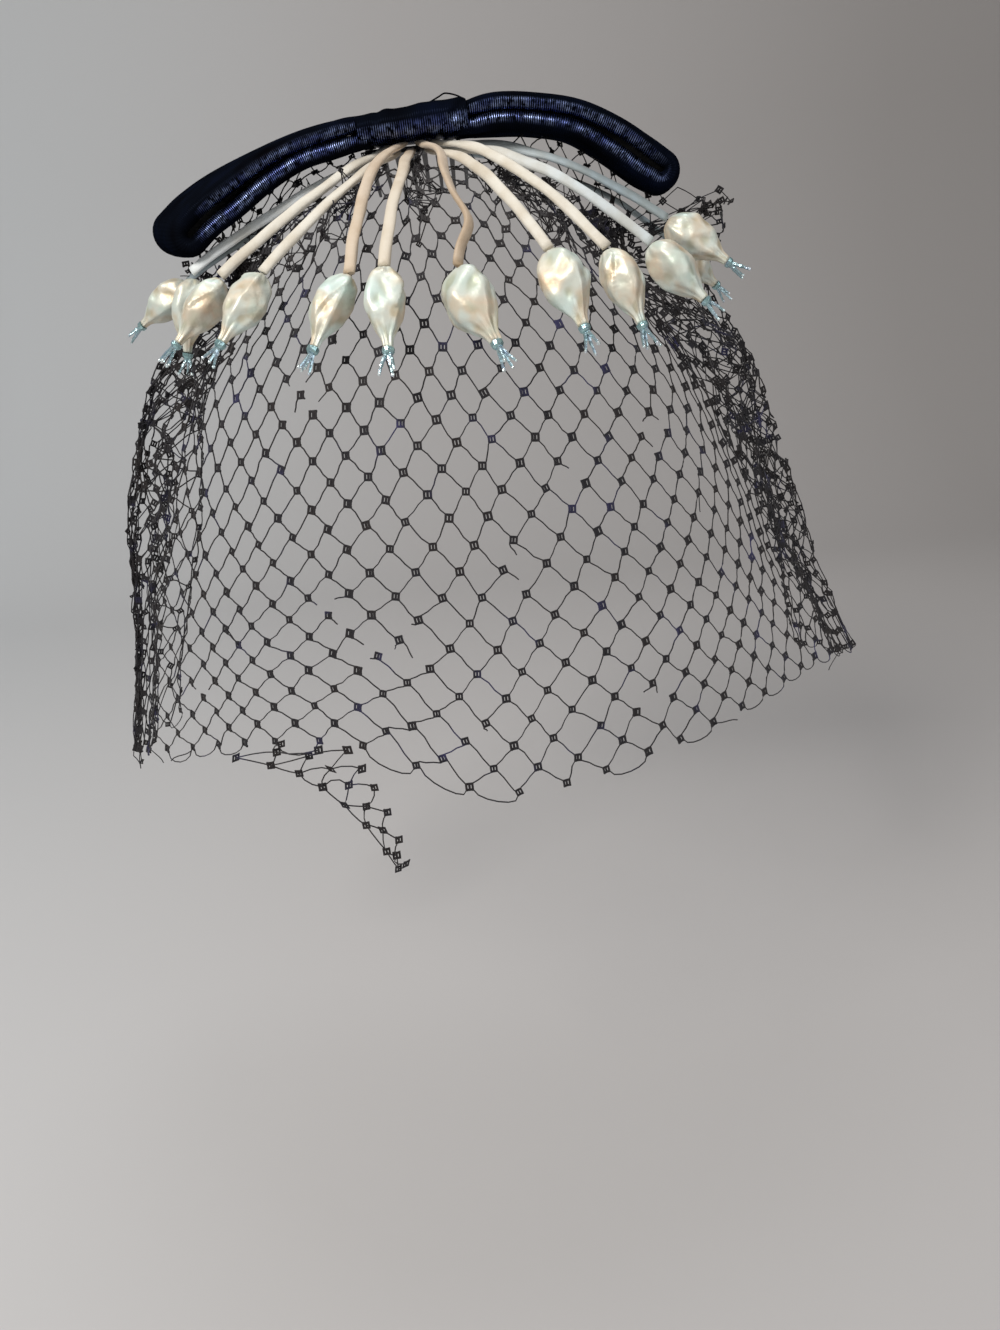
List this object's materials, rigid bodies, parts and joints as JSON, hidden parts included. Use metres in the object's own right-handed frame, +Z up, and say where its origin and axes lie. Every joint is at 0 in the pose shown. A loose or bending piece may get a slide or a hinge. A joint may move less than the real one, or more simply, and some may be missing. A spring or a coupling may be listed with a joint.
{
  "type": "fascinator",
  "caption": "Birdcage-veil fascinator: a satin bow over a fan of wired satin-covered stems with satin buds, and a net veil that hangs over the face.",
  "frame": {"origin": "the point of the crown that the fascinator sits on, under the bow's knot", "axes": "+Z up, +X towards the wearer's left ear, -Y the way the face looks"},
  "size_m": [0.2686, 0.1436, 0.2062],
  "materials": {
    "bow_satin": "dark navy slipper satin with a soft violet-blue sheen",
    "stem_cord": "satin-covered wire, cream to peach, pale blue at the sides",
    "bud_satin": "creased pearl satin",
    "stamen_tinsel": "iridescent silver-blue foil thread with pearly tips",
    "veil_net": "matt blue-black thread netting with woven knots",
    "comb_plastic": "plain black moulded comb"
  },
  "bodies": {
    "root": {"bow_loop_left": "bow_satin", "bow_loop_right": "bow_satin", "bow_knot": "bow_satin", "stem_01": "stem_cord", "stem_02": "stem_cord", "stem_03": "stem_cord", "stem_04": "stem_cord", "stem_05": "stem_cord", "stem_06": "stem_cord", "stem_07": "stem_cord", "stem_08": "stem_cord", "stem_09": "stem_cord", "stem_10": "stem_cord", "stem_11": "stem_cord", "stem_12": "stem_cord", "bud_01": "bud_satin", "bud_02": "bud_satin", "bud_03": "bud_satin", "bud_04": "bud_satin", "bud_05": "bud_satin", "bud_06": "bud_satin", "bud_07": "bud_satin", "bud_08": "bud_satin", "bud_09": "bud_satin", "bud_10": "bud_satin", "bud_11": "bud_satin", "bud_12": "bud_satin", "stamens_01": "stamen_tinsel", "stamens_02": "stamen_tinsel", "stamens_03": "stamen_tinsel", "stamens_04": "stamen_tinsel", "stamens_05": "stamen_tinsel", "stamens_06": "stamen_tinsel", "stamens_07": "stamen_tinsel", "stamens_08": "stamen_tinsel", "stamens_09": "stamen_tinsel", "stamens_10": "stamen_tinsel", "stamens_11": "stamen_tinsel", "stamens_12": "stamen_tinsel", "veil": "veil_net", "hair_comb": "comb_plastic"}
  },
  "joints": []
}
